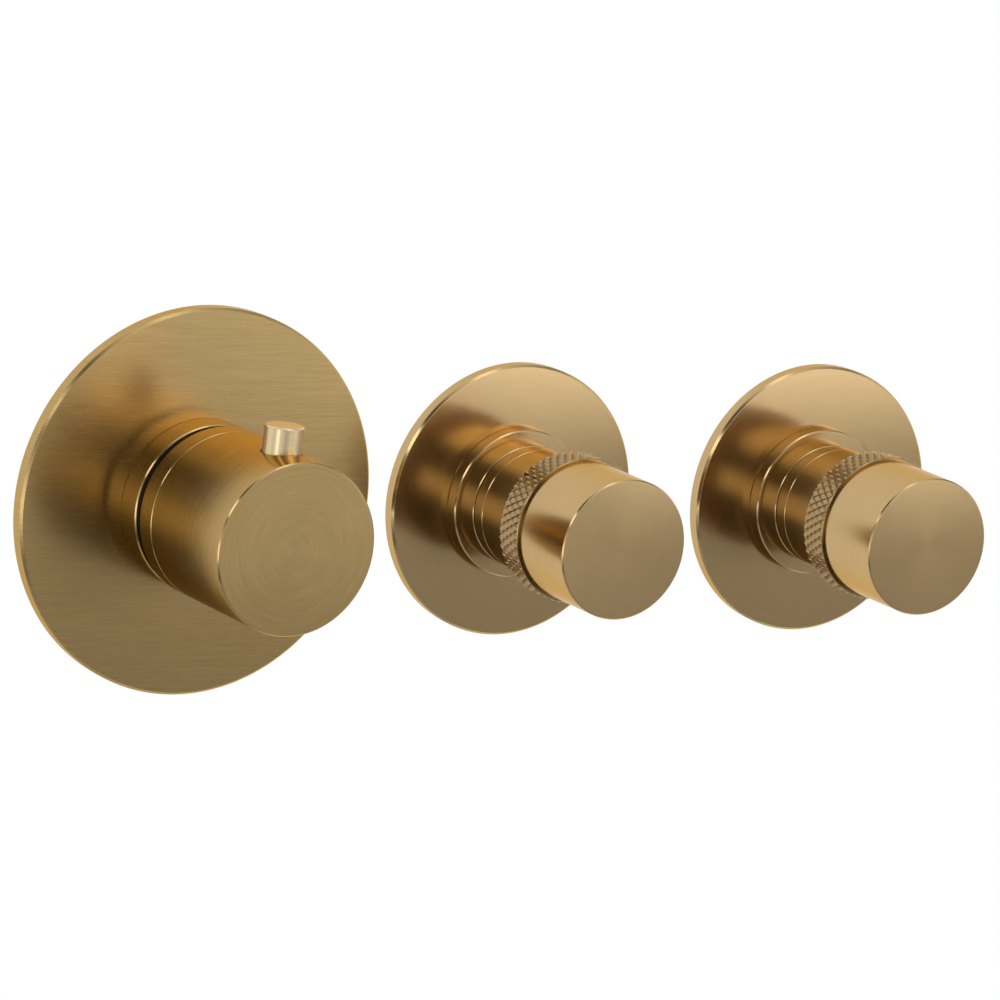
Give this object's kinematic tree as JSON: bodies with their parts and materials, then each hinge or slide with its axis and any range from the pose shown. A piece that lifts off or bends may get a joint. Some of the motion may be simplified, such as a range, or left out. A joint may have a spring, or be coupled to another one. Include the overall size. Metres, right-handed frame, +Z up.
{
  "type": "thermostatic shower valve",
  "caption": "Concealed thermostatic shower valve: a temperature knob with a safety button and two knurled stop valve handles in a row, each on a round rosette.",
  "frame": {"origin": "centre of the mounting rail's back face, in the middle of its four wall fixing holes", "axes": "+X to the right seen from the room, along the row from the thermostat to the stop valves; +Y into the wall; +Z up. The finished wall is the plane y = -0.078."},
  "size_m": [0.327, 0.148, 0.12],
  "materials": {
    "plate_brass": "straight brushed, lacquered",
    "turned_brass": "circular brushed, lacquered",
    "satin_brass": "fine satin, lacquered",
    "knurled_brass": "diamond knurled, lacquered",
    "cast_brass": "sand cast, raw",
    "machined_brass": "machined, raw",
    "steel": "stainless, rolled",
    "black_plastic": "moulded black",
    "white_plastic": "moulded, natural acetal",
    "ceramic": "lapped alumina ceramic",
    "rubber": "moulded rubber"
  },
  "bodies": {
    "valve_body": {"mounting_rail": "steel", "rail_screws": "steel", "left_gallery_tube": "machined_brass", "right_gallery_tube": "machined_brass", "union_nuts": "machined_brass", "headwork_seals": "rubber", "rosette_seals": "rubber", "thermostat_housing": "cast_brass", "thermostat_rosette": "plate_brass", "thermostat_collar": "turned_brass", "stop_ring": "black_plastic", "cartridge_sleeve": "black_plastic", "cartridge_nut": "machined_brass", "cartridge_o_rings": "rubber", "return_spring": "steel", "inlet_strainers": "steel", "hot_check_body": "black_plastic", "hot_check_spring": "steel", "cold_check_body": "black_plastic", "cold_check_spring": "steel", "middle_housing": "cast_brass", "middle_rosette": "plate_brass", "middle_raised_disc": "satin_brass", "middle_cover_sleeve": "satin_brass", "middle_headwork_body": "machined_brass", "middle_fixed_disc": "ceramic", "right_housing": "cast_brass", "right_rosette": "plate_brass", "right_raised_disc": "satin_brass", "right_cover_sleeve": "satin_brass", "right_headwork_body": "machined_brass", "right_fixed_disc": "ceramic"},
    "temperature_knob": {"thermostat_knob": "turned_brass", "knob_base_ring": "turned_brass", "knob_insert": "white_plastic", "knob_grub_screw": "steel", "temperature_spindle": "machined_brass", "button_spring": "steel"},
    "safety_button": {"safety_button": "turned_brass", "safety_catch": "white_plastic"},
    "mixer": {"shuttle": "white_plastic", "wax_element": "machined_brass", "drive_nut": "machined_brass", "overload_spring": "steel"},
    "hot_poppet": {"hot_check_poppet": "white_plastic"},
    "cold_poppet": {"cold_check_poppet": "white_plastic"},
    "middle_handle": {"middle_handle_stem": "satin_brass", "middle_knurled_ring": "knurled_brass", "middle_handle_knob": "satin_brass", "middle_handle_insert": "white_plastic", "middle_grub_screw": "steel", "middle_spindle": "machined_brass", "middle_turning_disc": "ceramic"},
    "right_handle": {"right_handle_stem": "satin_brass", "right_knurled_ring": "knurled_brass", "right_handle_knob": "satin_brass", "right_handle_insert": "white_plastic", "right_grub_screw": "steel", "right_spindle": "machined_brass", "right_turning_disc": "ceramic"}
  },
  "joints": [
    {"name": "temperature_turn", "type": "hinge", "parent": "valve_body", "child": "temperature_knob", "pos_m": [-0.112, -0.078, 0], "axis": [0, -1, 0], "range_deg": [-200, 70]},
    {"name": "button_press", "type": "slide", "parent": "temperature_knob", "child": "safety_button", "axis": [0, 0, -1], "range_m": [0, 0.0025], "stiffness_N_per_m": 600, "springref_m": -0.001, "deforming": ["button_spring"]},
    {"name": "mixer_travel", "type": "slide", "parent": "valve_body", "child": "mixer", "axis": [0, 1, 0], "range_m": [-0.0018, 0.0008], "deforming": ["return_spring"]},
    {"name": "hot_check_lift", "type": "slide", "parent": "valve_body", "child": "hot_poppet", "axis": [1, 0, 0], "range_m": [0, 0.0024], "stiffness_N_per_m": 120, "springref_m": -0.002, "deforming": ["hot_check_spring"]},
    {"name": "cold_check_lift", "type": "slide", "parent": "valve_body", "child": "cold_poppet", "axis": [0, 0, 1], "range_m": [0, 0.0024], "stiffness_N_per_m": 120, "springref_m": -0.002, "deforming": ["cold_check_spring"]},
    {"name": "middle_handle_turn", "type": "hinge", "parent": "valve_body", "child": "middle_handle", "pos_m": [0, -0.078, 0], "axis": [0, -1, 0], "range_deg": [0, 90]},
    {"name": "right_handle_turn", "type": "hinge", "parent": "valve_body", "child": "right_handle", "pos_m": [0.112, -0.078, 0], "axis": [0, -1, 0], "range_deg": [0, 90]}
  ],
  "couplings": [
    {"joint": "mixer_travel", "follows": "temperature_turn", "m_per_rad": 0.00047746}
  ]
}
